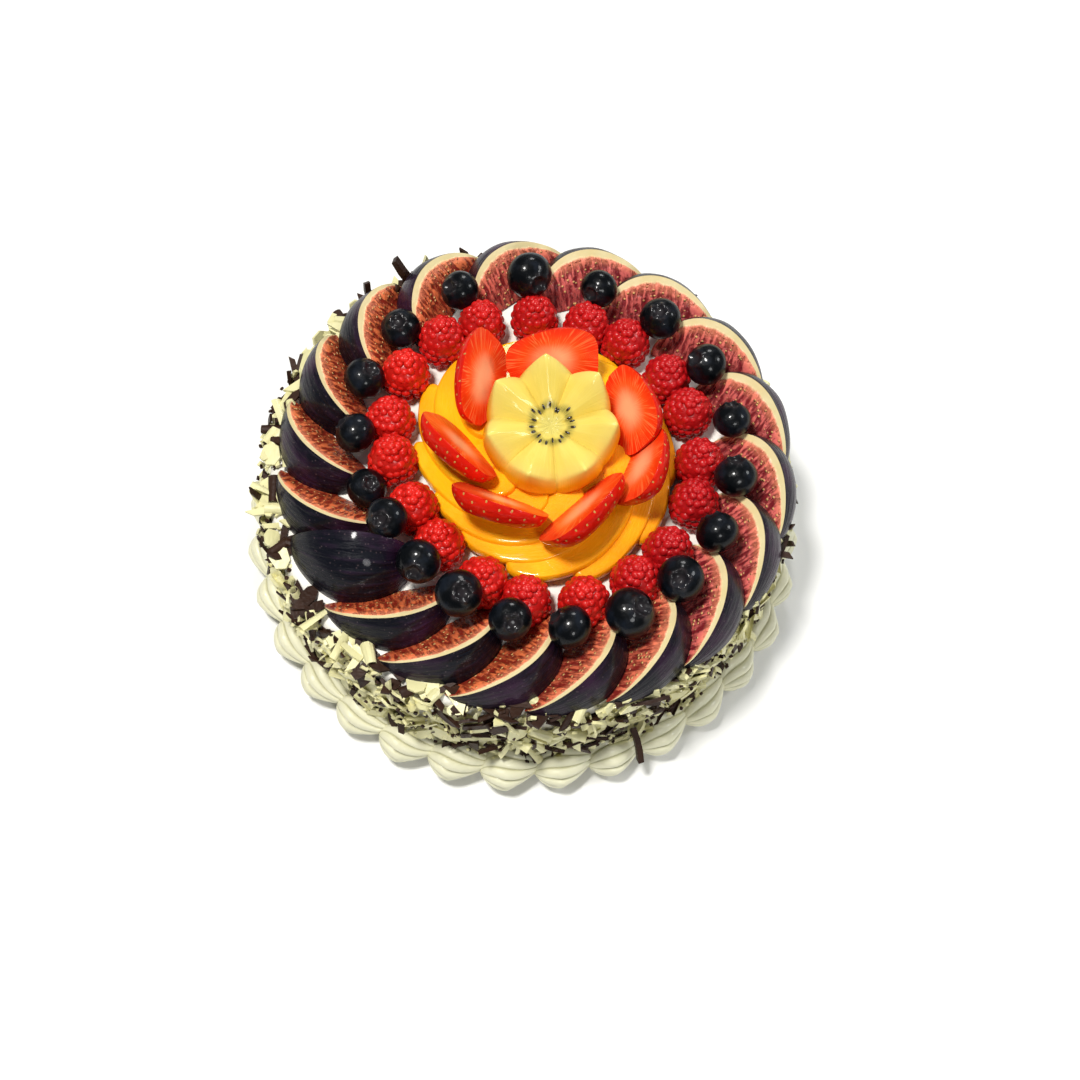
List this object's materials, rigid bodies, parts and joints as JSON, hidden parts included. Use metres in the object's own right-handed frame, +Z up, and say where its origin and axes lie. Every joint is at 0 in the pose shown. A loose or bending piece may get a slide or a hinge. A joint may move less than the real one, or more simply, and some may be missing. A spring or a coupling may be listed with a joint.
{
  "type": "exotic fruit cake",
  "caption": "Round iced cake with a piped shell border, chocolate shavings on its wall, and a top of fig wedges, berries, mango, strawberry slices and a zigzag-cut golden kiwi.",
  "frame": {"origin": "centre of the flat base, at the height of the surface that the cake stands on", "axes": "+Z up; -Y is the side nearest the viewer in the picture, +X to the viewer's right"},
  "size_m": [0.2294, 0.2294, 0.0986],
  "materials": {
    "icing": "smooth white whipped cream with white and dark chocolate shavings",
    "piped_cream": "piped pale cream, satin",
    "mango": "glazed ripe mango flesh",
    "golden_kiwi": "glazed peeled golden kiwi flesh with black seeds",
    "fig": "dark purple fig skin, cream pith and red seedy flesh, glazed",
    "blueberry": "glazed blue-black skin",
    "raspberry": "glazed red drupelets",
    "strawberry": "glazed red skin with golden seeds, pale-hearted cut face"
  },
  "bodies": {
    "root": {"cake": "icing", "shell_border": "piped_cream", "mango_rosette": "mango", "kiwi": "golden_kiwi", "fig_01": "fig", "fig_02": "fig", "fig_03": "fig", "fig_04": "fig", "fig_05": "fig", "fig_06": "fig", "fig_07": "fig", "fig_08": "fig", "fig_09": "fig", "fig_10": "fig", "fig_11": "fig", "fig_12": "fig", "fig_13": "fig", "fig_14": "fig", "fig_15": "fig", "fig_16": "fig", "fig_17": "fig", "fig_18": "fig", "fig_19": "fig", "blueberry_01": "blueberry", "blueberry_02": "blueberry", "blueberry_03": "blueberry", "blueberry_04": "blueberry", "blueberry_05": "blueberry", "blueberry_06": "blueberry", "blueberry_07": "blueberry", "blueberry_08": "blueberry", "blueberry_09": "blueberry", "blueberry_10": "blueberry", "blueberry_11": "blueberry", "blueberry_12": "blueberry", "blueberry_13": "blueberry", "blueberry_14": "blueberry", "blueberry_15": "blueberry", "blueberry_16": "blueberry", "blueberry_17": "blueberry", "blueberry_18": "blueberry", "blueberry_19": "blueberry", "raspberry_01": "raspberry", "raspberry_02": "raspberry", "raspberry_03": "raspberry", "raspberry_04": "raspberry", "raspberry_05": "raspberry", "raspberry_06": "raspberry", "raspberry_07": "raspberry", "raspberry_08": "raspberry", "raspberry_09": "raspberry", "raspberry_10": "raspberry", "raspberry_11": "raspberry", "strawberry_1": "strawberry", "strawberry_2": "strawberry", "strawberry_3": "strawberry", "strawberry_4": "strawberry", "strawberry_5": "strawberry", "strawberry_6": "strawberry", "strawberry_7": "strawberry"}
  },
  "joints": []
}
